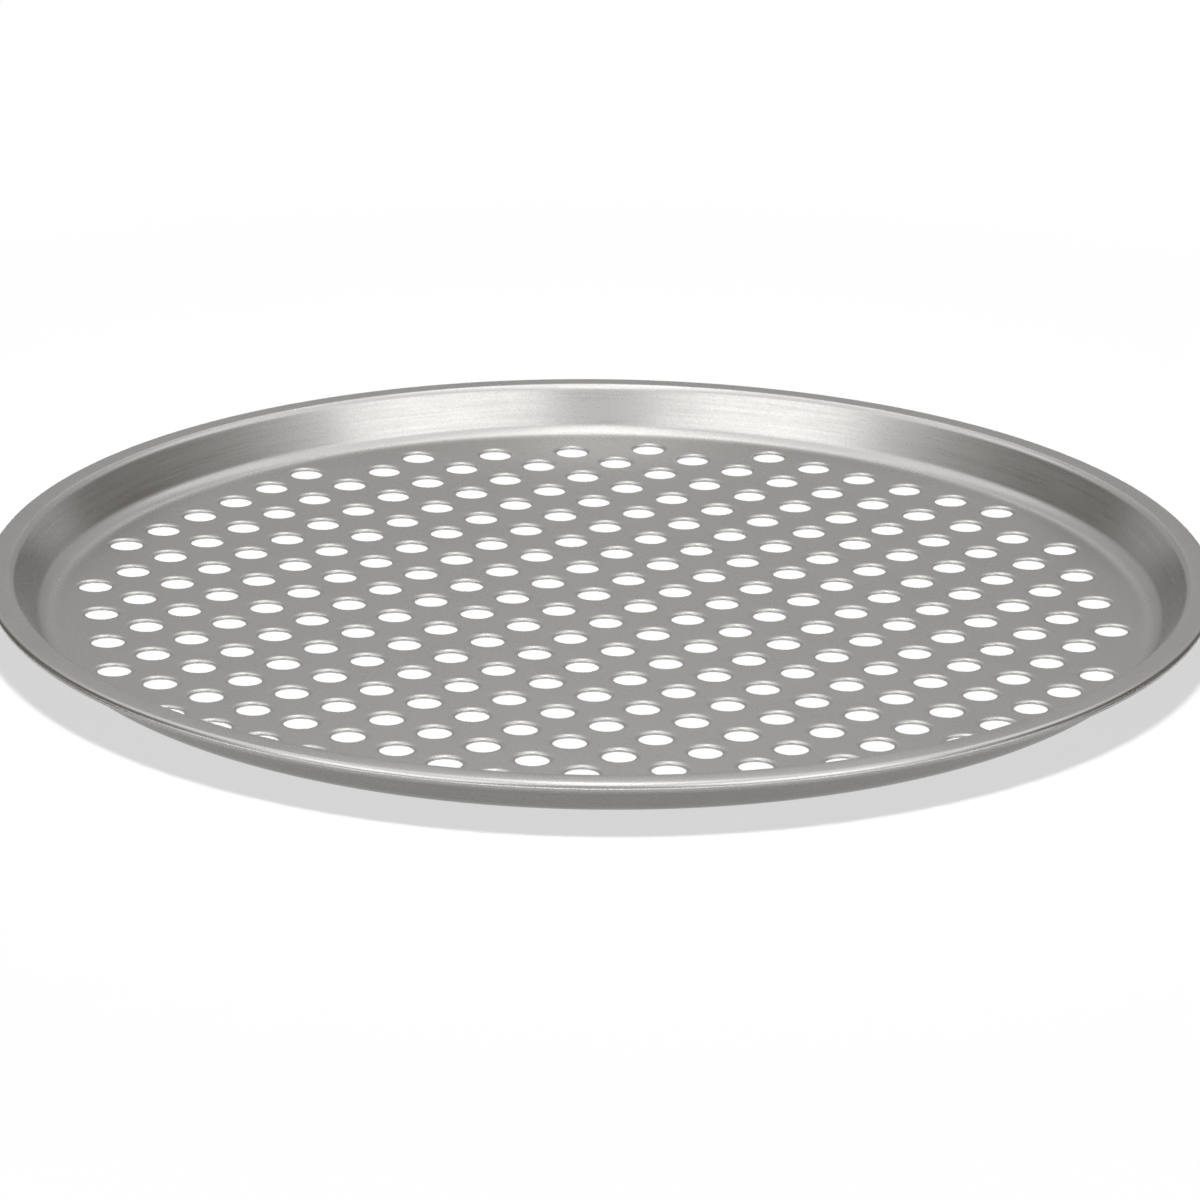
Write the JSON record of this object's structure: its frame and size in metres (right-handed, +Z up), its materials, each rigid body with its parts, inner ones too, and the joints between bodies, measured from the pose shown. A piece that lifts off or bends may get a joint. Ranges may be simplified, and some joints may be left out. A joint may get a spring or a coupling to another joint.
{
  "type": "pizza pan",
  "caption": "Round shallow pizza pan of coated steel sheet with a perforated flat base, a sloping wall and a flange rolled round a stiffening wire.",
  "frame": {"origin": "centre of the pan on the underside of its base, which is the surface it stands on", "axes": "+Z up along the pan's axis of revolution, X and Y along the rows of vent holes"},
  "size_m": [0.32, 0.32, 0.013],
  "materials": {
    "silver_coat": "satin silver-grey non-stick coat with a fine grain",
    "rim_wire": "drawn steel wire"
  },
  "bodies": {
    "root": {"pan_body": "silver_coat", "rim_wire": "rim_wire"}
  },
  "joints": []
}
